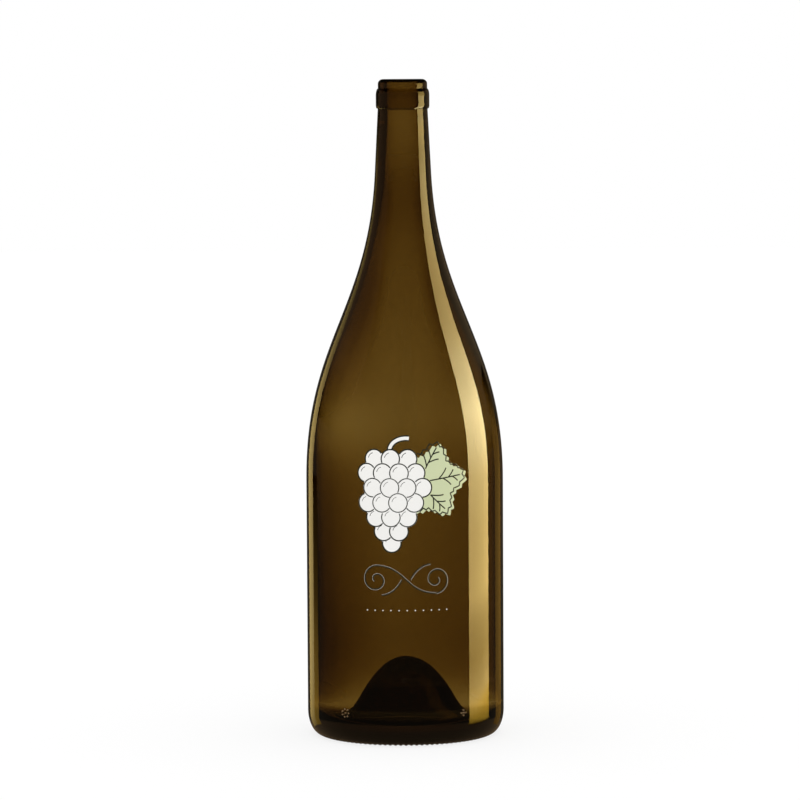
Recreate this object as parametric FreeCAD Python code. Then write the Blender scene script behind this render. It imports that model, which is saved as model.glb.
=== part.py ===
import FreeCAD, Part
import os

from FreeCAD import Vector

# Magnum wine bottle of Burgundy shape: one closed solid of glass, turned about the Z axis.
# The origin is the centre of the ring that it stands on, and +Z is up. Sizes in millimetres.

# Overall form
bottle_height = 352.6
body_radius = 53.0
body_height = 138.2         # where the straight side ends and the shoulder begins
neck_length = 50.3          # from the mouth down to where the shoulder ends
neck_top_radius = 13.35     # just under the band
neck_flare = 0.051          # how much the neck's radius grows for each millimetre down
shoulder_low_pull = 0.453   # shares of the shoulder's height that its two bends take up
shoulder_high_pull = 0.447

# Cork finish: a narrow lip standing on a wider band
lip_radius = 13.2
lip_height = 5.1
lip_round_width = 2.9
lip_round_height = 2.5
band_radius = 14.35
band_height = 10.5
band_round_top = 3.8
band_round_bottom = 2.0

# Heel and the ring that the bottle stands on
heel_width = 7.1
heel_height = 13.0
standing_ring_width = 3.0

# Glass thickness
body_wall = 3.8
neck_wall = 4.1
shoulder_lift = 1.2         # how far the inner shoulder stands above the outer one, which thins it
punt_wall = 6.2             # at the top of the punt

# Bore: narrow for the cork, then wider down the neck
mouth_radius = 9.25
mouth_round = 0.55
cork_depth = 17.0
cork_taper = 0.2            # how much the cork bore's radius grows over its depth
bore_step_length = 7.0      # height over which the cork bore widens to the neck's bore

# Floor of the bottle: a channel round a tall bell-shaped punt, and the hollow under the punt
inner_heel_width = 11.6
inner_heel_height = 15.0
channel_floor = 6.0
punt_height = 41.5          # top of the bell inside the bottle
punt_foot_pull = 0.277      # shares of the bell's radius that its foot and its top take up
punt_top_pull = 0.641
hollow_foot_pull = 0.566
hollow_top_pull = 0.497
hollow_foot_rise = 0.133    # share of the hollow's height

circle_pull = 0.5523        # makes a cubic curve follow a quarter of a circle or an ellipse


def at(radius, height):
    return Vector(radius, 0, height)


def straight(start, end):
    return Part.makeLine(start, end)


def curve(*poles):
    bezier = Part.BezierCurve()
    bezier.setPoles(list(poles))
    return bezier.toShape()


def rounded(start, corner, end):
    # A quarter of an ellipse that starts and ends in line with the sides of a sharp corner.
    return curve(start, start + (corner - start) * circle_pull, end + (corner - end) * circle_pull, end)


def shoulder(bottom, top, flare):
    # An S-shaped shoulder: upright at the body, and in line with the neck's flare at its top.
    rise = top.z - bottom.z
    low = rise * shoulder_low_pull
    high = rise * shoulder_high_pull
    return curve(bottom, bottom + at(0, low), top + at(flare * high, -high), top)


def bell(foot, top_height, foot_pull, foot_rise, top_pull):
    # Up from a ring to a smooth dome on the axis.
    top = at(0, top_height)
    inward = foot - at(foot_pull * foot.x, -foot_rise * top_height)
    return curve(foot, inward, top + at(top_pull * foot.x, 0), top)


def finish_edges():
    # From the top of the neck, over the band and the lip, to the rim of the bore.
    lip_bottom = bottle_height - lip_height
    band_bottom = lip_bottom - band_height
    band_low = at(band_radius, band_bottom + band_round_bottom)
    band_high = at(band_radius, lip_bottom - band_round_top)
    lip_low = at(lip_radius, lip_bottom)
    lip_high = at(lip_radius, bottle_height - lip_round_height)
    lip_top = at(lip_radius - lip_round_width, bottle_height)
    return [
        rounded(at(neck_top_radius, band_bottom), at(band_radius, band_bottom), band_low),
        straight(band_low, band_high),
        rounded(band_high, at(band_radius, lip_bottom), lip_low),
        straight(lip_low, lip_high),
        rounded(lip_high, at(lip_radius, bottle_height), lip_top),
        straight(lip_top, at(mouth_radius + mouth_round, bottle_height)),
    ]


def outer_edges():
    # From the standing ring, up the heel, body, shoulder and neck, to the rim of the bore.
    ring_outside = at(body_radius - heel_width, 0)
    heel_top = at(body_radius, heel_height)
    body_top = at(body_radius, body_height)
    band_bottom = bottle_height - lip_height - band_height
    neck_root_height = bottle_height - neck_length
    neck_root_radius = neck_top_radius + neck_flare * (band_bottom - neck_root_height)
    neck_root = at(neck_root_radius, neck_root_height)
    return [
        straight(ring_outside - at(standing_ring_width, 0), ring_outside),
        rounded(ring_outside, at(body_radius, 0), heel_top),
        straight(heel_top, body_top),
        shoulder(body_top, neck_root, neck_flare),
        straight(neck_root, at(neck_top_radius, band_bottom)),
    ] + finish_edges()


def inner_edges():
    # From the rim of the bore, down the neck, shoulder and body, to the top of the punt.
    rim_inside = at(mouth_radius, bottle_height - mouth_round)
    cork_end = at(mouth_radius + cork_taper, bottle_height - cork_depth)
    band_bottom = bottle_height - lip_height - band_height
    bore_height = cork_end.z - bore_step_length
    root_height = bottle_height - neck_length + shoulder_lift
    bore_radius = neck_top_radius + neck_flare * (band_bottom - bore_height) - neck_wall
    root_radius = bore_radius + neck_flare * (bore_height - root_height)
    bore_top = at(bore_radius, bore_height)
    root = at(root_radius, root_height)
    half_step = at(0, bore_step_length / 2)
    body_top = at(body_radius - body_wall, body_height + shoulder_lift)
    heel_top = at(body_radius - body_wall, channel_floor + inner_heel_height)
    channel = heel_top - at(inner_heel_width, inner_heel_height)
    shoulder_edge = shoulder(body_top, root, neck_flare)
    return [
        rounded(at(mouth_radius + mouth_round, bottle_height), at(mouth_radius, bottle_height), rim_inside),
        straight(rim_inside, cork_end),
        curve(cork_end, cork_end - half_step, bore_top + half_step, bore_top),
        straight(bore_top, root),
        shoulder_edge,
        straight(body_top, heel_top),
        rounded(heel_top, at(heel_top.x, channel_floor), channel),
        bell(channel, punt_height, punt_foot_pull, 0, punt_top_pull),
    ]


def hollow_edges():
    # Down the axis through the glass of the punt, then along the hollow under it to the standing ring.
    top_height = punt_height - punt_wall
    foot = at(body_radius - heel_width - standing_ring_width, 0)
    return [
        straight(at(0, punt_height), at(0, top_height)),
        bell(foot, top_height, hollow_foot_pull, hollow_foot_rise, hollow_top_pull),
    ]


def make_bottle():
    outline = Part.Wire(outer_edges() + inner_edges() + hollow_edges())
    return Part.Face(outline).revolve(Vector(0, 0, 0), Vector(0, 0, 1), 360)


os.makedirs("parts", exist_ok=True)
bottle = Part.Solid(make_bottle())
bottle.exportStep("parts/bottle.step")
print("bottle: volume", round(bottle.Volume), "mm3, valid", bottle.isValid())
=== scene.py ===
import math
import bmesh
import bpy
import numpy as np
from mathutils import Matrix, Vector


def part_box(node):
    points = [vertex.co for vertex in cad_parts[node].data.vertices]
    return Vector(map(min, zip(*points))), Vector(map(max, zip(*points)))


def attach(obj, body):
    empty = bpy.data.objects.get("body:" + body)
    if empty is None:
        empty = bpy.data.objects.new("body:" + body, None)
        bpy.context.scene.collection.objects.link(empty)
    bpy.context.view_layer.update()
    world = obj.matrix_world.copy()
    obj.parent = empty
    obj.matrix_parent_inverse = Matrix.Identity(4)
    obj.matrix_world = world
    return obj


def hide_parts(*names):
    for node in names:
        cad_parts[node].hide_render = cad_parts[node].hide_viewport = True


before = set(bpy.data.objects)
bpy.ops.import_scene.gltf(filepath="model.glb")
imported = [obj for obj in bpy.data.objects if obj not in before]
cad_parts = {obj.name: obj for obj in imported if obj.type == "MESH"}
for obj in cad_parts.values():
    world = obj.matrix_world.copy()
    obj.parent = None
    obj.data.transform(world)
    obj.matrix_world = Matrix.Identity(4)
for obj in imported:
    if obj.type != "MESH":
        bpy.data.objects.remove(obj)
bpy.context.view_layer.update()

mm = 0.001      # shapes are worked out in millimetres and put into the meshes in metres

nodeLow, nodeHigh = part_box("bottle")
bottle = dict(
    height=nodeHigh.z / mm,
    bodyRadius=53.0, bodyHeight=138.2,
    neckLength=50.3, neckTopRadius=13.35, neckFlare=0.051,
    shoulderLowPull=0.453, shoulderHighPull=0.447,
    lipRadius=13.2, lipHeight=5.1, lipRoundWidth=2.9, lipRoundHeight=2.5, lipFoot=0.12,
    bandRadius=14.35, bandHeight=10.5, bandRoundTop=3.8, bandRoundBottom=2.0, bandFillet=0.5,
    heelWidth=7.1, heelHeight=13.0, ringWidth=3.0,
    bodyWall=3.8, neckWall=4.1, shoulderLift=1.2, puntWall=6.2,
    mouthRadius=9.25, mouthRound=0.55, corkDepth=17.0, corkTaper=0.2, boreStep=7.0,
    innerHeelWidth=11.6, innerHeelHeight=15.0, channelFloor=6.0,
    puntHeight=41.5, puntFootPull=0.277, puntTopPull=0.641,
    hollowFootPull=0.566, hollowTopPull=0.497, hollowFootRise=0.133,
)


def cubicRun(start, pullStart, pullEnd, end, count):
    # Cubic curve: the four poles weighted by (1-t)^3, 3t(1-t)^2, 3t^2(1-t) and t^3.
    # The end point is left out.
    t = np.linspace(0, 1, count, endpoint=False)[:, None]
    poles = [np.array(pole, float) for pole in (start, pullStart, pullEnd, end)]
    firstHalf = (1 - t) ** 3 * poles[0] + 3 * t * (1 - t) ** 2 * poles[1]
    return firstHalf + 3 * t * t * (1 - t) * poles[2] + t ** 3 * poles[3]


def straightRun(start, end, count):
    # Even steps along a line: start + t (end - start). The end point is left out.
    t = np.linspace(0, 1, count, endpoint=False)[:, None]
    return np.array(start, float) + t * (np.array(end, float) - np.array(start, float))


def roundRun(start, corner, end, count):
    # Quarter of an ellipse: a cubic curve whose pulls reach 0.5523 of the way to the sharp corner.
    start, corner, end = (np.array(point, float) for point in (start, corner, end))
    return cubicRun(start, start + (corner - start) * 0.5523, end + (corner - end) * 0.5523, end, count)


def shoulderRun(bottom, top, count):
    # S-shaped shoulder: upright at the body, in line with the neck's flare at its top.
    low = (top[1] - bottom[1]) * bottle["shoulderLowPull"]
    high = (top[1] - bottom[1]) * bottle["shoulderHighPull"]
    flared = (top[0] + bottle["neckFlare"] * high, top[1] - high)
    return cubicRun(bottom, (bottom[0], bottom[1] + low), flared, top, count)


def bellRun(foot, topHeight, footPull, footRise, topPull, count):
    # Bell: from a ring up to a smooth dome on the axis.
    inward = (foot[0] * (1 - footPull), foot[1] + footRise * topHeight)
    return cubicRun(foot, inward, (topPull * foot[0], topHeight), (0, topHeight), count)


def outlineRuns():
    # The wall's outline as (radius, height) rows: the hollow, the standing ring, the outside, the inside.
    b = bottle
    top, body, neck = b["height"], b["bodyRadius"], b["neckTopRadius"]
    band, lip, mouth = b["bandRadius"], b["lipRadius"], b["mouthRadius"]
    ringOuter = body - b["heelWidth"]
    ringInner = ringOuter - b["ringWidth"]
    lipBottom = top - b["lipHeight"]
    lipFoot = lipBottom + b["lipFoot"]
    lipShoulder = top - b["lipRoundHeight"]
    lipFlat = lip - b["lipRoundWidth"]
    bandBottom = lipBottom - b["bandHeight"]
    bandLow = bandBottom + b["bandRoundBottom"]
    bandHigh = lipBottom - b["bandRoundTop"]
    fillet = b["bandFillet"]
    neckRoot = top - b["neckLength"]
    rootRadius = neck + b["neckFlare"] * (bandBottom - neckRoot)
    rimOuter = mouth + b["mouthRound"]
    corkEnd = top - b["corkDepth"]
    boreTop = corkEnd - b["boreStep"]
    halfStep = b["boreStep"] / 2
    innerRoot = neckRoot + b["shoulderLift"]
    innerShoulder = b["bodyHeight"] + b["shoulderLift"]
    boreRadius = neck + b["neckFlare"] * (bandBottom - boreTop) - b["neckWall"]
    corkRadius = mouth + b["corkTaper"]
    innerRootRadius = boreRadius + b["neckFlare"] * (boreTop - innerRoot)
    innerBody = body - b["bodyWall"]
    innerHeelTop = b["channelFloor"] + b["innerHeelHeight"]
    channel = (innerBody - b["innerHeelWidth"], b["channelFloor"])

    hollow = bellRun((ringInner, 0), b["puntHeight"] - b["puntWall"],
                     b["hollowFootPull"], b["hollowFootRise"], b["hollowTopPull"], 28)[::-1]
    ring = np.concatenate((
        straightRun((ringInner, 0), (ringOuter, 0), 5),
        roundRun((ringOuter, 0), (body, 0), (body, b["heelHeight"]), 22),
    ))
    outside = np.concatenate((
        straightRun((body, b["heelHeight"]), (body, b["bodyHeight"]), 14),
        shoulderRun((body, b["bodyHeight"]), (rootRadius, neckRoot), 64),
        straightRun((rootRadius, neckRoot), (neck, bandBottom - fillet), 12),
        roundRun((neck, bandBottom - fillet), (neck, bandBottom), (neck + fillet, bandBottom), 6),
        roundRun((neck + fillet, bandBottom), (band, bandBottom), (band, bandLow), 8),
        straightRun((band, bandLow), (band, bandHigh), 2),
        roundRun((band, bandHigh), (band, lipBottom), (lip, lipBottom), 10),
        straightRun((lip, lipBottom), (lip, lipFoot), 1),
        straightRun((lip, lipFoot), (lip, lipShoulder), 3),
        roundRun((lip, lipShoulder), (lip, top), (lipFlat, top), 10),
        roundRun((rimOuter, top), (mouth, top), (mouth, top - b["mouthRound"]), 6),
    ))
    inside = np.concatenate((
        straightRun((mouth, top - b["mouthRound"]), (corkRadius, corkEnd), 6),
        cubicRun((corkRadius, corkEnd), (corkRadius, corkEnd - halfStep),
                 (boreRadius, boreTop + halfStep), (boreRadius, boreTop), 10),
        straightRun((boreRadius, boreTop), (innerRootRadius, innerRoot), 10),
        shoulderRun((innerBody, innerShoulder), (innerRootRadius, innerRoot), 56)[:0:-1],
        straightRun((innerBody, innerShoulder), (innerBody, innerHeelTop), 26),
        roundRun((innerBody, innerHeelTop), (innerBody, b["channelFloor"]), channel, 16),
        bellRun(channel, b["puntHeight"], b["puntFootPull"], 0, b["puntTopPull"], 36),
    ))
    return hollow[:-1], ring, outside, inside


hollowRows, ringRows, outsideRows, insideRows = outlineRuns()
outerOutline = np.concatenate((ringRows[5:], outsideRows[:90]))      # from the heel to the band


def skinFaces(rings, columns, first):
    # Quads between rings of the same number of points, wound so that they face outwards up the outside.
    ring = first + np.arange(rings)[:, None] * columns
    side = np.arange(columns)
    after = np.roll(side, -1)
    corners = (ring[:-1] + side, ring[:-1] + after, ring[1:] + after, ring[1:] + side)
    return np.stack(corners, axis=-1).reshape(-1, 4)


def fanFaces(pole, ringStart, columns, opening):
    # Triangles from a pole to the ring beside it; opening says that the pole comes before the ring.
    side = ringStart + np.arange(columns)
    after = np.roll(side, -1)
    fan = np.stack((np.full(columns, pole), after, side), axis=-1)
    return fan if opening else fan[:, ::-1]


def stitchFaces(coarseStart, coarse, fineStart, times, opening):
    # Triangles between a ring and one with several times its points: each coarse point takes the fine
    # points nearest to it, and one triangle more bridges to the next coarse point.
    step = np.arange(coarse)[:, None]
    fine = np.arange(times)[None, :]
    owner = (step + (fine >= times // 2)) % coarse
    low = fineStart + step * times + fine
    high = fineStart + (step * times + fine + 1) % (coarse * times)
    near = np.stack((coarseStart + owner, high, low), axis=-1).reshape(-1, 3)
    middle = fineStart + (step * times + times // 2) % (coarse * times)
    bridge = np.concatenate((coarseStart + step, coarseStart + (step + 1) % coarse, middle), axis=1)
    faces = np.concatenate((near, bridge))
    return faces if opening else faces[:, ::-1]


def makePiece(name, points, faceGroups, material):
    # A mesh object at the origin from points in millimetres and arrays of faces, shaded smooth.
    mesh = bpy.data.meshes.new(name)
    faces = [face for group in faceGroups for face in group.tolist()]
    mesh.from_pydata((np.asarray(points) * mm).tolist(), [], faces)
    mesh.polygons.foreach_set("use_smooth", np.ones(len(mesh.polygons), bool))
    mesh.materials.append(material)
    mesh.validate()
    piece = bpy.data.objects.new(name, mesh)
    bpy.context.scene.collection.objects.link(piece)
    return piece


def newMaterial(name):
    material = bpy.data.materials.new(name)
    material.use_nodes = True
    nodes = material.node_tree.nodes
    return material, nodes, material.node_tree.links, nodes["Principled BSDF"], nodes["Material Output"]


def unevennessGroup():
    # Soft lumps and fine grain on Object coordinates, as one height: lumps + grain share of a finer noise.
    group = bpy.data.node_groups.new("surfaceUnevenness", "ShaderNodeTree")
    for label, value in (("Lump Scale", 20.0), ("Grain Scale", 900.0), ("Grain Share", 0.2)):
        socket = group.interface.new_socket(name=label, in_out="INPUT", socket_type="NodeSocketFloat")
        socket.default_value = value
    group.interface.new_socket(name="Height", in_out="OUTPUT", socket_type="NodeSocketFloat")
    nodes, links = group.nodes, group.links
    inputs = nodes.new("NodeGroupInput")
    outputs = nodes.new("NodeGroupOutput")
    place = nodes.new("ShaderNodeTexCoord")
    lumps = nodes.new("ShaderNodeTexNoise")
    grain = nodes.new("ShaderNodeTexNoise")
    mix = nodes.new("ShaderNodeMix")
    lumps.inputs["Detail"].default_value = 1.0
    grain.inputs["Detail"].default_value = 2.0
    links.new(place.outputs["Object"], lumps.inputs["Vector"])
    links.new(place.outputs["Object"], grain.inputs["Vector"])
    links.new(inputs.outputs["Lump Scale"], lumps.inputs["Scale"])
    links.new(inputs.outputs["Grain Scale"], grain.inputs["Scale"])
    links.new(inputs.outputs["Grain Share"], mix.inputs["Factor"])
    links.new(lumps.outputs["Fac"], mix.inputs["A"])
    links.new(grain.outputs["Fac"], mix.inputs["B"])
    links.new(mix.outputs["Result"], outputs.inputs["Height"])
    return group


unevenness = unevennessGroup()


def addUnevenness(nodes, links, shader, lumpScale, grainScale, grainShare, depth):
    # Feeds the group's height to a bump of the given depth in millimetres.
    group = nodes.new("ShaderNodeGroup")
    group.node_tree = unevenness
    group.inputs["Lump Scale"].default_value = lumpScale
    group.inputs["Grain Scale"].default_value = grainScale
    group.inputs["Grain Share"].default_value = grainShare
    bump = nodes.new("ShaderNodeBump")
    bump.inputs["Distance"].default_value = depth * mm
    links.new(group.outputs["Height"], bump.inputs["Height"])
    links.new(bump.outputs["Normal"], shader.inputs["Normal"])
    return group


glassFinish = dict(
    index=1.52,
    absorptionColor=(0.548, 0.414, 0.0),
    absorptionDensity=728.0,
    lumpScale=16.0, lumpDepth=0.03,
)


def glassMaterial(name, color, roughness, transmission):
    # Glass with its colour in the volume; a scuffed one scatters part of the light from its skin.
    material, nodes, links, shader, output = newMaterial(name)
    shader.inputs["Base Color"].default_value = (*color, 1)
    shader.inputs["Roughness"].default_value = roughness
    shader.inputs["IOR"].default_value = glassFinish["index"]
    shader.inputs["Transmission Weight"].default_value = transmission
    absorption = nodes.new("ShaderNodeVolumeAbsorption")
    absorption.inputs["Color"].default_value = (*glassFinish["absorptionColor"], 1)
    absorption.inputs["Density"].default_value = glassFinish["absorptionDensity"]
    links.new(absorption.outputs["Volume"], output.inputs["Volume"])
    addUnevenness(nodes, links, shader, glassFinish["lumpScale"], 300.0, 0.02, glassFinish["lumpDepth"])
    return material


wall = dict(
    columns=240, fineTimes=4,
    knurls=104, knurlDepth=0.5,
    waveDepth=0.11,
    drifts=((12, 11, 2.0, 2.4), (48, 18, -0.3, -0.35), (75, 50, -0.3, 0.0), (168, 20, 0.35, 0.8),
            (232, 30, -0.35, -1.3), (288, 20, -0.4, -0.7), (326, 20, 0.45, -0.55), (346.5, 4, -0.25, -0.4)),
    leftDrifts=((60, 65, -1.1, 2, 0), (162, 24, 1.0, 1, 1)),
)


def knurl(radius, height, angle):
    # Depth of the grooves between the knurls: deepest on the ring, fading up the heel and into the hollow.
    fade = np.clip(1 - height / 2.2, 0, 1) * np.clip((radius - 41.5) / 2, 0, 1)
    groove = 0.5 - 0.5 * np.cos(angle * wall["knurls"])
    return wall["knurlDepth"] * fade * groove


def innerWave(height, angle):
    # Slow drift of the blown inside: a few broad waves round the bottle whose phase turns with height.
    h = height / bottle["height"]
    wave = np.sin(2 * angle + 0.6 + 3.0 * h) + 0.6 * np.sin(3 * angle - 1.1 - 5.0 * h)
    wave += 0.35 * np.sin(5 * angle + 2.0 + 9.0 * h) + 0.2 * np.sin(9 * angle + 14.0 * h)
    return wall["waveDepth"] * wave


def wallDrift(height, angle):
    # How much thinner the blown wall is than drawn. Each drift is a soft hump over height: its first depth
    # is that of the front and back walls, its second that of the walls at the sides, blended by the
    # sideways share of the angle's sine; in the neck the blend starts further round. The left drifts grow
    # with a power of the sine on that side alone.
    side = np.abs(np.sin(angle))
    share = np.clip((side - 0.35 - 0.28 * np.clip((height - 285) / 25, 0, 1)) / 0.5, 0, 1)
    share = share * share * (3 - 2 * share)
    change = 0.0
    for middle, reach, across, sideways in wall["drifts"]:
        hump = np.exp(-((height - middle) / reach) ** 2)
        change = change + hump * (across * (1 - share) + sideways * share)
    left = np.clip(-np.sin(angle), 0, 1)
    for middle, reach, depth, power, fade in wall["leftDrifts"]:
        hump = np.exp(-((height - middle) / reach) ** 2)
        change = change + depth * left ** power * (1 - fade * left ** 2) * hump
    return change


def latheRows(rows, columns, change=None):
    # Turns (radius, height) rows about the axis; change may move each point's radius and height.
    angle = np.arange(columns) * 2 * np.pi / columns
    radius = np.repeat(rows[:, :1], columns, axis=1)
    height = np.repeat(rows[:, 1:], columns, axis=1)
    if change is not None:
        radius, height = change(radius, height, angle[None, :])
    return np.stack((radius * np.sin(angle), -radius * np.cos(angle), height), axis=-1).reshape(-1, 3)


def knurled(radius, height, angle):
    cut = knurl(radius, height, angle)
    return radius - 0.5 * cut, height + cut


def waved(radius, height, angle):
    # The wave dies out at the mouth, where the mould shapes the bore, and over the punt.
    span = np.clip((bottle["height"] - 20 - height) / 30, 0, 1) * np.clip((radius - 5) / 30, 0, 1)
    drift = wallDrift(height, angle) * np.clip(radius / 8, 0, 1)
    return radius + span * innerWave(height, angle) + drift, height


def makeGlass(material):
    columns, fine = wall["columns"], wall["columns"] * wall["fineTimes"]
    hollow = hollowRows[1:]
    parts = [
        np.array([[0, 0, hollowRows[0][1]]]),
        latheRows(hollow, columns),
        latheRows(ringRows[:14], fine, knurled),
        latheRows(np.concatenate((ringRows[14:], outsideRows)), columns),
        latheRows(insideRows, columns, waved),
        np.array([[0, 0, bottle["puntHeight"]]]),
    ]
    starts = np.cumsum([0] + [len(part) for part in parts])
    upperRings = len(ringRows) - 14 + len(outsideRows) + len(insideRows)
    faces = [
        fanFaces(0, starts[1], columns, True),
        skinFaces(len(hollow), columns, starts[1]),
        stitchFaces(starts[2] - columns, columns, starts[2], wall["fineTimes"], True),
        skinFaces(14, fine, starts[2]),
        stitchFaces(starts[3], columns, starts[3] - fine, wall["fineTimes"], False),
        skinFaces(upperRings, columns, starts[3]),
        fanFaces(starts[5], starts[5] - columns, columns, False),
    ]
    return makePiece("glassBottle", np.concatenate(parts), faces, material)


amberOliveGlass = glassMaterial("amberOliveGlass", (1, 1, 1), 0.0, 1.0)
glassBottle = makeGlass(amberOliveGlass)
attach(glassBottle, "root")
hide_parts("bottle")
print("glass:", len(glassBottle.data.polygons), "faces")


enamel = dict(
    fill=0.05, berry=0.09, line=0.13,      # how far each layer stands off the glass
    bed=-0.02,                             # how far each layer's underside sinks into the glass
    white=(0.93, 0.93, 0.91), sage=(0.63, 0.695, 0.43), dark=(0.022, 0.026, 0.018),
)


def enamelMaterial(name, color, roughness):
    # Fired enamel: a satin skin with a fine grain, its colour and gloss a little uneven.
    material, nodes, links, shader, output = newMaterial(name)
    group = addUnevenness(nodes, links, shader, 90.0, 2600.0, 0.6, 0.012)
    tint = nodes.new("ShaderNodeMix")
    tint.data_type = "RGBA"
    tint.inputs["A"].default_value = (*[0.93 * part for part in color], 1)
    tint.inputs["B"].default_value = (*[min(1.04 * part, 1.0) for part in color], 1)
    gloss = nodes.new("ShaderNodeMapRange")
    gloss.inputs["To Min"].default_value = roughness - 0.06
    gloss.inputs["To Max"].default_value = roughness + 0.06
    links.new(group.outputs["Height"], tint.inputs["Factor"])
    links.new(group.outputs["Height"], gloss.inputs["Value"])
    links.new(tint.outputs["Result"], shader.inputs["Base Color"])
    links.new(gloss.outputs["Result"], shader.inputs["Roughness"])
    shader.inputs["Specular IOR Level"].default_value = 0.3
    return material


def onGlass(flat, lift):
    # Bends a flat drawing onto the glass. u runs round it in millimetres of arc from the front, and v is
    # the height: the angle is u over the body's radius, and the radius is the outline's at v plus the lift.
    u, v = flat[..., 0], flat[..., 1]
    radius = np.interp(v, outerOutline[:, 1], outerOutline[:, 0]) + lift
    angle = u / bottle["bodyRadius"]
    return np.stack((radius * np.sin(angle), -radius * np.cos(angle), v), axis=-1)


def patch(center, outline, lift, rings):
    # A closed thin patch: the outline drawn in to its centre in even rings, on top and again underneath.
    spokes = len(outline) - 1
    shares = np.concatenate((np.linspace(0, 1, rings + 1)[1:-1], [0.985, 1.0]))
    offset = (np.asarray(outline)[:-1] - center)[None]
    top = onGlass(center + shares[:, None, None] * offset, np.where(shares < 1, lift, 0.4 * lift)[:, None])
    under = onGlass(center + shares[::-1, None, None] * offset, enamel["bed"])
    middle = np.asarray(center, float)[None]
    points = np.concatenate((onGlass(middle, lift), top.reshape(-1, 3),
                             under.reshape(-1, 3), onGlass(middle, enamel["bed"])))
    count = 2 * len(shares)
    faces = [
        fanFaces(0, 1, spokes, True),
        skinFaces(count, spokes, 1),
        fanFaces(1 + count * spokes, 1 + (count - 1) * spokes, spokes, False),
    ]
    return points, faces


def acrossPath(path):
    # Unit steps to the left of a path: its direction turned a quarter round.
    along = np.gradient(path, axis=0)
    along /= np.linalg.norm(along, axis=1)[:, None]
    return np.stack((-along[:, 1], along[:, 0]), axis=-1)


def stroke(path, width, lift):
    # A closed flat thread along a path of (u, v) points: a low rounded section with blunt ends.
    path = np.asarray(path, float)
    across = acrossPath(path)
    section = np.array([(-0.5, 0.0), (-0.5, 0.6), (-0.25, 1.0), (0.25, 1.0), (0.5, 0.6), (0.5, 0.0)])
    flat = path[:, None] + across[:, None] * section[None, :, :1] * width
    rise = enamel["bed"] + section[:, 1] * (lift - enamel["bed"])
    rings = onGlass(flat, rise[None, :])
    ends = [rings[0].mean(axis=0)[None], rings[-1].mean(axis=0)[None]]
    points = np.concatenate((ends[0], rings.reshape(-1, 3), ends[1]))
    sides = section.shape[0]
    faces = [
        fanFaces(0, 1, sides, True),
        skinFaces(len(path), sides, 1),
        fanFaces(1 + len(path) * sides, 1 + (len(path) - 1) * sides, sides, False),
    ]
    return points, faces


def makePrint(name, shapes, material):
    # Joins patches and strokes into one piece, turns every shell's faces outwards and puts it on the bottle.
    starts = np.cumsum([0] + [len(points) for points, faces in shapes])
    groups = [face + start for start, (points, faces) in zip(starts, shapes) for face in faces]
    piece = makePiece(name, np.concatenate([points for points, faces in shapes]), groups, material)
    shell = bmesh.new()
    shell.from_mesh(piece.data)
    bmesh.ops.recalc_face_normals(shell, faces=shell.faces)
    shell.to_mesh(piece.data)
    shell.free()
    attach(piece, "root")
    print(name + ":", len(piece.data.polygons), "faces")
    return piece


def circle(center, radius, count=48, start=0.0, end=360.0):
    angle = np.radians(np.linspace(start, end, count + 1))
    return np.asarray(center, float) + radius * np.stack((np.cos(angle), np.sin(angle)), axis=-1)


def seenRuns(path, covers, radius):
    # The stretches of a path that lie outside every covering disc.
    if len(covers):
        gaps = np.linalg.norm(path[:, None] - np.asarray(covers)[None], axis=-1)
        seen = (gaps > radius).all(axis=1)
    else:
        seen = np.ones(len(path), bool)
    if seen.all():
        return [path]
    if np.allclose(path[0], path[-1]):
        turn = int(np.argmin(seen[:-1]))
        path = np.roll(path[:-1], -turn, axis=0)
        seen = np.roll(seen[:-1], -turn)
    cuts = np.flatnonzero(np.diff(seen.astype(int))) + 1
    runs = zip(np.split(path, cuts), np.split(seen, cuts))
    return [run for run, shown in runs if shown[0] and len(run) > 2]


bunch = dict(
    rows=((153.5, (-16.5, -7.6, 1.6)), (146.0, (-20.6, -11.8, -3.0, 5.8)),
          (138.2, (-17.2, -8.0, 1.0, 9.4)), (130.3, (-20.0, -12.2, -3.6, 5.0)),
          (122.6, (-15.6, -7.4, 1.4)), (115.2, (-11.4, -3.2)), (109.0, (-7.0,))),
    berryRadius=5.3, lineWidth=0.78, focus=(-6.5, 133.0),
    stem=((-8.0, 156.5), (-8.6, 160.0), (-6.6, 163.2), (-2.2, 164.8), (2.4, 164.2)),
)


def bunchBerries():
    # Berry centres, the outermost first, so that those at the bunch's middle lie in front.
    centers = np.array([(u, height) for height, places in bunch["rows"] for u in places])
    reach = np.linalg.norm(centers - np.array(bunch["focus"]), axis=1)
    return centers[np.argsort(-reach)]


def smoothPath(points, count):
    # A smooth path near a few given points: they are the poles of a single Bezier curve.
    poles = np.array(points, float)
    order = len(poles) - 1
    t = np.linspace(0, 1, count)[:, None]
    weights = [math.comb(order, k) * t ** k * (1 - t) ** (order - k) for k in range(order + 1)]
    return sum(weight * pole for weight, pole in zip(weights, poles))


leaf = dict(
    center=(13.0, 140.5), radius=22.5, tip=8.0, teeth=31, toothDepth=0.085,
    lobes=((0, 0.46, 25), (63, 0.40, 25), (-63, 0.38, 25),
           (125, 0.26, 23), (-125, 0.24, 23), (180, -0.26, 14)),
    core=0.56, lineShift=(-1.6, 1.1), lineWidth=0.66,
)


def leafReach(angle):
    # Reach of the leaf's edge at an angle in degrees from its tip: a core, a soft hump for each lobe, a
    # dip at the stalk, and small pointed teeth.
    reach = np.full_like(angle, leaf["core"])
    for middle, height, width in leaf["lobes"]:
        off = (angle - middle + 180) % 360 - 180
        reach = reach + height * np.exp(-(off / width) ** 2)
    tooth = np.abs((angle * leaf["teeth"] / 360) % 1 - 0.5) * 2
    return leaf["radius"] * reach * (1 - leaf["toothDepth"] * tooth)


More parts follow.
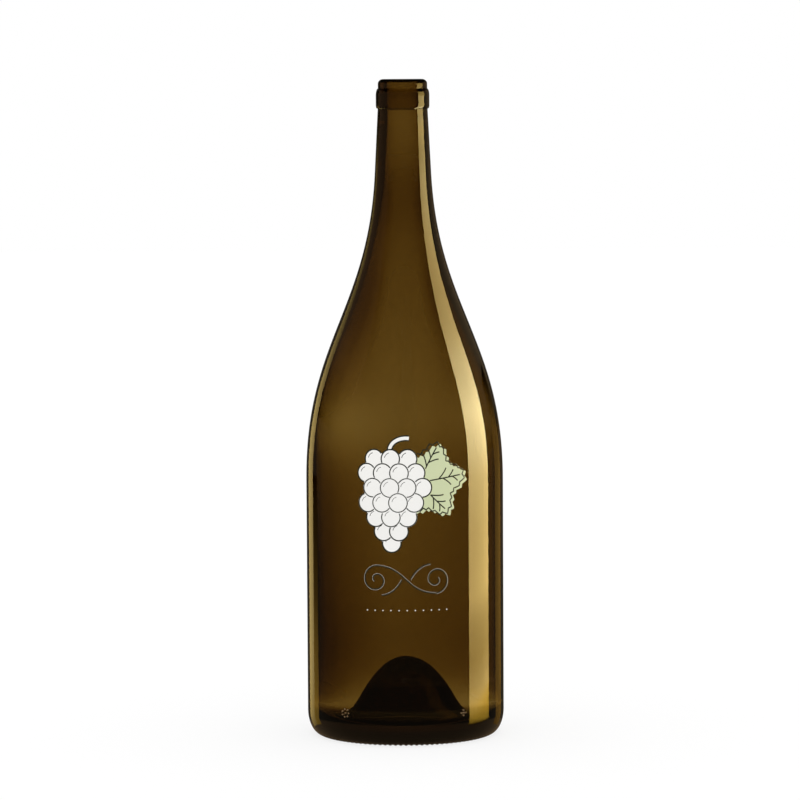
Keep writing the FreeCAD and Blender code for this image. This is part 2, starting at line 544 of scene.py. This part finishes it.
def leafPoint(angle, reach):
    turned = np.radians(np.asarray(angle) + leaf["tip"])
    toward = np.stack((np.cos(turned), np.sin(turned)), axis=-1)
    return np.array(leaf["center"]) + np.asarray(reach)[..., None] * toward


def leafVeins():
    # A main vein from the stalk to each lobe, and short side veins that leave it at a slant.
    stalk = leafPoint(180, leaf["radius"] * 0.16)
    veins = []
    for middle, height, width in leaf["lobes"][:5]:
        tip = leafPoint(middle, leaf["radius"] * (leaf["core"] + height) * 0.86)
        bow = np.array((-(tip - stalk)[1], (tip - stalk)[0])) * 0.05 * np.sign(middle)
        main = smoothPath((stalk, (stalk + tip) / 2 + bow, tip), 30)
        veins.append(main)
        forward = (tip - stalk) / np.linalg.norm(tip - stalk)
        for place, side in ((0.45, 1), (0.58, -1), (0.70, 1), (0.80, -1)):
            root = main[int(place * 29)]
            out = np.array((-forward[1], forward[0])) * side
            length = leaf["radius"] * 0.17 * (1.25 - place) / 0.6
            bend = root + length * (0.7 * forward + 0.5 * out)
            veins.append(smoothPath((root, bend, root + length * (forward + out)), 12))
    return veins


def bunchPrint():
    # White berries over a sage leaf, with thin dark outlines; what lies behind a berry isn't outlined there.
    berries, radius, width = bunchBerries(), bunch["berryRadius"], bunch["lineWidth"]
    white, dark = [], []
    for number, center in enumerate(berries):
        front = berries[number + 1:]
        white.append(patch(center, circle(center, radius), enamel["berry"] + 0.0015 * number, 4))
        rim = circle(center, radius - width / 2, 72)
        dark += [stroke(run, width, enamel["line"] + 0.01) for run in seenRuns(rim, front, radius)]
        shine = circle(center, radius * 0.6, 14, 105, 170)
        dark += [stroke(run, 0.4, enamel["line"]) for run in seenRuns(shine, front, radius)]
    stem = smoothPath(bunch["stem"], 28)
    dark.append(stroke(stem, 3.2, enamel["fill"] + 0.01))
    white.append(stroke(stem, 2.0, enamel["berry"]))
    angle = np.linspace(0, 360, leaf["teeth"] * 8 + 1)
    edge = leafPoint(angle, leafReach(angle))
    sage = [patch(leaf["center"], edge, enamel["fill"], 11)]
    shift = np.array(leaf["lineShift"])
    drawn = [edge + shift] + [vein + shift for vein in leafVeins()]
    for path in drawn:
        dark += [stroke(run, leaf["lineWidth"], enamel["line"]) for run in seenRuns(path, berries, radius)]
    return white, sage, dark


scroll = dict(
    middle=(0.5, 89.5), reach=16.0, curl=7.4, turns=1.35, lineWidth=0.64,
    paleGap=-0.46, paleWidth=0.085,
    dots=11, dotSpan=(-20.5, 22.5), dotHeight=73.2, dotRadius=0.33,
)


def curl(center, start, end, outer, inner, count):
    # A spiral: its radius shrinks evenly while its angle turns from start to end, in degrees.
    angle = np.radians(np.linspace(start, end, count))
    radius = np.linspace(outer, inner, count)
    return np.asarray(center) + np.stack((radius * np.cos(angle), radius * np.sin(angle)), axis=-1)


def scrollPaths():
    # Two curls at the ends of a shallow wave, one the other turned half round, and two leaves between them.
    middle, reach, size = np.array(scroll["middle"]), scroll["reach"], scroll["curl"]
    right = curl(middle + (reach, 0), -90, -90 + 360 * scroll["turns"], size, 1.1, 70)
    wave = smoothPath((middle + (reach, -size), middle + (4, -size), middle,
                       middle - (4, -size), middle - (reach, -size)), 50)
    left = 2 * middle - right
    near, bend, far = np.array((2.2, 0)), np.array((6, 7.5)), np.array((13, 8.4))
    leaves = [smoothPath((middle + side * near, middle + side * bend, middle + side * far), 24)
              for side in (1, -1)]
    return [right, left, wave] + leaves


def scrollPrint():
    # Thin dark lines with a paler hair line beside them, and a row of small dots under them.
    paths = scrollPaths()
    beside = [path + scroll["paleGap"] * acrossPath(path) for path in paths]
    dark = [stroke(path, scroll["lineWidth"], enamel["line"]) for path in paths]
    pale = [stroke(path, scroll["paleWidth"], enamel["berry"]) for path in beside]
    for u in np.linspace(*scroll["dotSpan"], scroll["dots"]):
        center = (u, scroll["dotHeight"])
        pale.append(patch(center, circle(center, scroll["dotRadius"], 12), enamel["berry"], 2))
    return pale, dark


heelMarks = dict(
    rise=0.6, dotRadius=0.42, height=17.2,      # how far off the glass, size of a dot, place up the heel
    rosettes=((-37.0, 2.1, 7), (35.0, 1.4, 4)),      # degrees from the front, reach, dots in the ring
)


def markShapes():
    # Two small rosettes of raised dots in the heel's glass, each a ring of dots round one more.
    shapes = []
    for angle, reach, dots in heelMarks["rosettes"]:
        middle = np.array((math.radians(angle) * bottle["bodyRadius"], heelMarks["height"]))
        for center in (middle, *circle(middle, reach, dots)[:-1]):
            shapes.append(patch(center, circle(center, heelMarks["dotRadius"], 12), heelMarks["rise"], 3))
    return shapes


scuffedGlass = glassMaterial("scuffedGlass", (0.58, 0.38, 0.19), 0.35, 0.7)
makePrint("heelMarks", markShapes(), scuffedGlass)

bunchWhite, leafSage, bunchDark = bunchPrint()
scrollPale, scrollDark = scrollPrint()
whiteEnamel = enamelMaterial("whiteEnamel", enamel["white"], 0.36)
sageEnamel = enamelMaterial("sageEnamel", enamel["sage"], 0.36)
darkEnamel = enamelMaterial("darkEnamel", enamel["dark"], 0.3)
makePrint("grapeBunchPrint", bunchWhite, whiteEnamel)
makePrint("vineLeafPrint", leafSage, sageEnamel)
makePrint("lineDrawingPrint", bunchDark, darkEnamel)
makePrint("scrollPalePrint", scrollPale, whiteEnamel)
makePrint("scrollDarkPrint", scrollDark, darkEnamel)

studio = dict(
    floorSize=6000.0, floorHeight=-0.05,
    floorColor=0.2, floorGlow=0.79, floorFill=0.68,
    backdrop=1.0, fill=1.12, mirrored=(0.062, 0.05, 0.034), floorMirrored=(0.5, 0.45, 0.38),
)


def rayMasks(nodes, links):
    # Two masks by kind of ray: straight is 1 for the camera and for what shows through glass without a
    # reflection on the way, and diffuse is 1 for light that falls on a matt surface.
    path = nodes.new("ShaderNodeLightPath")
    unmirrored = nodes.new("ShaderNodeMath")
    unmirrored.operation = "LESS_THAN"
    unmirrored.inputs[1].default_value = 0.5
    through = nodes.new("ShaderNodeMath")
    through.operation = "MULTIPLY"
    straight = nodes.new("ShaderNodeMath")
    straight.operation = "MAXIMUM"
    links.new(path.outputs["Glossy Depth"], unmirrored.inputs[0])
    links.new(path.outputs["Is Transmission Ray"], through.inputs[0])
    links.new(unmirrored.outputs[0], through.inputs[1])
    links.new(path.outputs["Is Camera Ray"], straight.inputs[0])
    links.new(through.outputs[0], straight.inputs[1])
    return straight.outputs[0], path.outputs["Is Diffuse Ray"]


def rayColor(nodes, links, seen, fill, mirrored):
    # One colour from the two masks: mirrored, then fill over it, then seen over both.
    straight, diffuse = rayMasks(nodes, links)
    lower = nodes.new("ShaderNodeMix")
    upper = nodes.new("ShaderNodeMix")
    lower.data_type = "RGBA"
    upper.data_type = "RGBA"
    lower.inputs["A"].default_value = (*mirrored, 1)
    lower.inputs["B"].default_value = (fill, fill, fill, 1)
    upper.inputs["B"].default_value = (seen, seen, seen, 1)
    links.new(diffuse, lower.inputs["Factor"])
    links.new(lower.outputs["Result"], upper.inputs["A"])
    links.new(straight, upper.inputs["Factor"])
    return upper.outputs["Result"]


def makeWorld():
    world = bpy.data.worlds.new("paleStudio")
    world.use_nodes = True
    bpy.context.scene.world = world
    nodes, links = world.node_tree.nodes, world.node_tree.links
    background = nodes["Background"]
    color = rayColor(nodes, links, studio["backdrop"], studio["fill"], studio["mirrored"])
    links.new(color, background.inputs["Color"])
    world.cycles.sampling_method = "NONE"


def makeFlat(name, outline, height, material):
    # A level stage shape from its outline in plan.
    points = np.column_stack((outline, np.full(len(outline), height)))
    piece = makePiece(name, points, [np.arange(len(outline))[None]], material)
    return piece


def plainEmission(name, color):
    material, nodes, links, shader, output = newMaterial(name)
    nodes.remove(shader)
    emission = nodes.new("ShaderNodeEmission")
    emission.inputs["Color"].default_value = (*color, 1)
    links.new(emission.outputs["Emission"], output.inputs["Surface"])
    return material


def makeFloor():
    # A pale floor, lifted to the backdrop's white by a glow that mirror images don't get.
    material, nodes, links, shader, output = newMaterial("paleFloor")
    shader.inputs["Base Color"].default_value = (*[studio["floorColor"]] * 3, 1)
    shader.inputs["Roughness"].default_value = 0.9
    shader.inputs["Specular IOR Level"].default_value = 0.0
    shader.inputs["Emission Strength"].default_value = 1.0
    glow = rayColor(nodes, links, studio["floorGlow"], studio["floorFill"], studio["floorMirrored"])
    links.new(glow, shader.inputs["Emission Color"])
    size = studio["floorSize"]
    outline = np.array([(-size, -size), (size, -size), (size, size), (-size, size)])
    floor = makeFlat("floor", outline, studio["floorHeight"], material)
    floor.visible_glossy = False


# Level discs seen only in or through the glass: the shade in the hollow, the dim floor that the heel
# mirrors, the dark ceiling over the mouth, and a near-black disc in the mouth whose painted shade gives
# the lip's top its dark edge.
flags = dict(
    hollowShade=dict(radius=42.0, height=0.0, color=(0.004, 0.003, 0.002)),
    heelSheen=dict(radius=400.0, height=-80.0, color=(0.17, 0.115, 0.065)),
    ceiling=dict(radius=260.0, height=445.0, color=(0.01, 0.008, 0.005)),
    # Painted shade: a near-black disc inside the mouth, seen only through and in the glass, darkens the
    # lip's top edge.
    mouthPaintedShade=dict(radius=9.8, height=bottle["height"] - 2.1, color=(0.001, 0.001, 0.001)),
)


def makeFlags():
    for name, flag in flags.items():
        outline = circle((0, 0), flag["radius"])[:-1]
        disc = makeFlat(name, outline, flag["height"], plainEmission(name + "Tone", flag["color"]))
        disc.visible_camera = False
        disc.visible_diffuse = False
        disc.visible_shadow = False
        disc.visible_transmission = name != "heelSheen"


# Upright panels seen only in the glass. A panel stands on a line in plan, from start to end, and its
# levels are (height, share of the full strength, warmth): the colour runs from pale to warm as the warmth
# goes from 0 to 1.
softboxes = dict(
    right=dict(
        start=(166, -64), end=(242.5, 62), strength=13.5, pale=(1.0, 0.82, 0.40), warm=(1.0, 0.66, 0.16),
        levels=((-40, 0.0, 1.4), (-20, 0.2, 1.4), (-12, 0.28, 1.4), (-5, 0.43, 1.2), (2, 0.45, 0.8),
                (10, 0.40, 0.8), (24, 0.34, 0.9), (44, 0.41, 0.8), (60, 0.60, 0.7), (95, 0.58, 0.65),
                (130, 0.69, 0.45), (169, 0.88, 0.1), (206, 0.99, 0.0), (246, 0.77, 0.1), (277, 0.65, 0.25),
                (305, 0.51, 0.5), (325, 0.42, 0.65), (337, 0.50, 0.7), (344, 0.47, 0.5), (350, 0.30, 0.9),
                (400, 0.28, 0.9)),
    ),
    left=dict(
        start=(-221, 165), end=(-162, 213), strength=1.32, pale=(1.0, 0.72, 0.25), warm=(1.0, 0.64, 0.14),
        levels=((-90, 0.3, 0.6), (-25, 0.85, 0.3), (0, 1.0, 0.0), (165, 1.0, 0.0), (210, 0.8, 0.1),
                (257, 0.5, 0.2), (300, 0.3, 0.3), (335, 0.02, 0.3), (400, 0.0, 0.3)),
    ),
    leftFoot=dict(
        start=(-250, 116), end=(-221, 165), strength=0.8, pale=(1.0, 0.6, 0.1), warm=(1.0, 0.56, 0.1),
        levels=((-90, 0.7, 0.0), (-20, 1.0, 0.0), (10, 0.75, 0.5), (45, 0.3, 1.0), (80, 0.12, 1.0),
                (120, 0.0, 1.0)),
    ),
    rim=dict(
        start=(231, 142), end=(172, 204), strength=0.46, pale=(1.0, 0.56, 0.12), warm=(1.0, 0.5, 0.1),
        levels=((-90, 0.5, 0.6), (-25, 0.9, 0.5), (0, 1.0, 0.0), (115, 1.0, 0.0), (160, 0.65, 0.3),
                (190, 0.25, 0.5), (230, 0.0, 1.0)),
    ),
    leftHaze=dict(
        start=(-286, -165), end=(-253, 212), strength=0.22, pale=(1.0, 0.58, 0.29), warm=(1.0, 0.5, 0.2),
        levels=((190, 0.0, 0.0), (250, 0.5, 0.0), (290, 1.0, 0.0), (440, 1.0, 0.0)),
    ),
    rightHaze=dict(
        start=(330, 90), end=(170, 300), strength=0.22, pale=(1.0, 0.7, 0.38), warm=(1.0, 0.5, 0.2),
        levels=((150, 0.0, 0.0), (210, 0.7, 0.0), (290, 1.0, 0.0), (440, 1.0, 0.0)),
    ),
)
innerShare = 0.12      # how much of a panel shows in mirror images inside the glass


def makeSoftbox(name, box):
    low, high = box["levels"][0][0], box["levels"][-1][0]
    material, nodes, links, shader, output = newMaterial(name + "Light")
    nodes.remove(shader)
    place = nodes.new("ShaderNodeTexCoord")
    split = nodes.new("ShaderNodeSeparateXYZ")
    span = nodes.new("ShaderNodeMapRange")
    span.inputs["From Min"].default_value = low * mm
    span.inputs["From Max"].default_value = high * mm
    ramp = nodes.new("ShaderNodeValToRGB")
    pale, warm = np.array(box["pale"]), np.array(box["warm"])
    for number, (height, share, warmth) in enumerate(box["levels"]):
        position = (height - low) / (high - low)
        stop = ramp.color_ramp.elements[number] if number < 2 else ramp.color_ramp.elements.new(position)
        stop.position = position
        stop.color = (*(share * (pale + warmth * (warm - pale))), 1.0)
    # The panel is clear to what looks straight through the glass, and dimmer in mirror images inside it.
    straight = rayMasks(nodes, links)[0]
    path = nodes.new("ShaderNodeLightPath")
    level = nodes.new("ShaderNodeMapRange")
    level.inputs["To Min"].default_value = box["strength"]
    level.inputs["To Max"].default_value = box["strength"] * innerShare
    emission = nodes.new("ShaderNodeEmission")
    clear = nodes.new("ShaderNodeBsdfTransparent")
    mix = nodes.new("ShaderNodeMixShader")
    links.new(path.outputs["Is Transmission Ray"], level.inputs["Value"])
    links.new(level.outputs["Result"], emission.inputs["Strength"])
    links.new(place.outputs["Object"], split.inputs["Vector"])
    links.new(split.outputs["Z"], span.inputs["Value"])
    links.new(span.outputs["Result"], ramp.inputs["Fac"])
    links.new(ramp.outputs["Color"], emission.inputs["Color"])
    links.new(straight, mix.inputs["Fac"])
    links.new(emission.outputs["Emission"], mix.inputs[1])
    links.new(clear.outputs["BSDF"], mix.inputs[2])
    links.new(mix.outputs["Shader"], output.inputs["Surface"])
    material.cycles.emission_sampling = "NONE"
    points = np.array([[x, y, height] for height in (low, high) for x, y in (box["start"], box["end"])])
    panel = makePiece(name, points, [np.array([[0, 1, 3, 2]])], material)
    panel.visible_camera = False
    panel.visible_diffuse = False
    panel.visible_shadow = False


makeWorld()
makeFloor()
makeFlags()
for boxName, box in softboxes.items():
    makeSoftbox(boxName + "Softbox", box)
print("studio: floor and", len(softboxes), "softboxes")

camera = dict(distance=2109.0, lens=176.83, pitch=4.67, roll=0.319, turn=0.0355)


def makeCamera():
    # Level with the mouth and in front of the bottle, looking slightly down.
    data = bpy.data.cameras.new("camera")
    data.lens = camera["lens"]
    data.sensor_width = 36.0
    data.clip_end = 50.0
    holder = bpy.data.objects.new("camera", data)
    holder.location = (0, -camera["distance"] * mm, nodeHigh.z)
    angles = (90 - camera["pitch"], camera["roll"], camera["turn"])
    holder.rotation_euler = [math.radians(angle) for angle in angles]
    bpy.context.scene.collection.objects.link(holder)
    bpy.context.scene.camera = holder


makeCamera()
scene = bpy.context.scene
scene.view_settings.view_transform = "Standard"
scene.cycles.max_bounces = 32
scene.cycles.transmission_bounces = 24
scene.cycles.glossy_bounces = 16
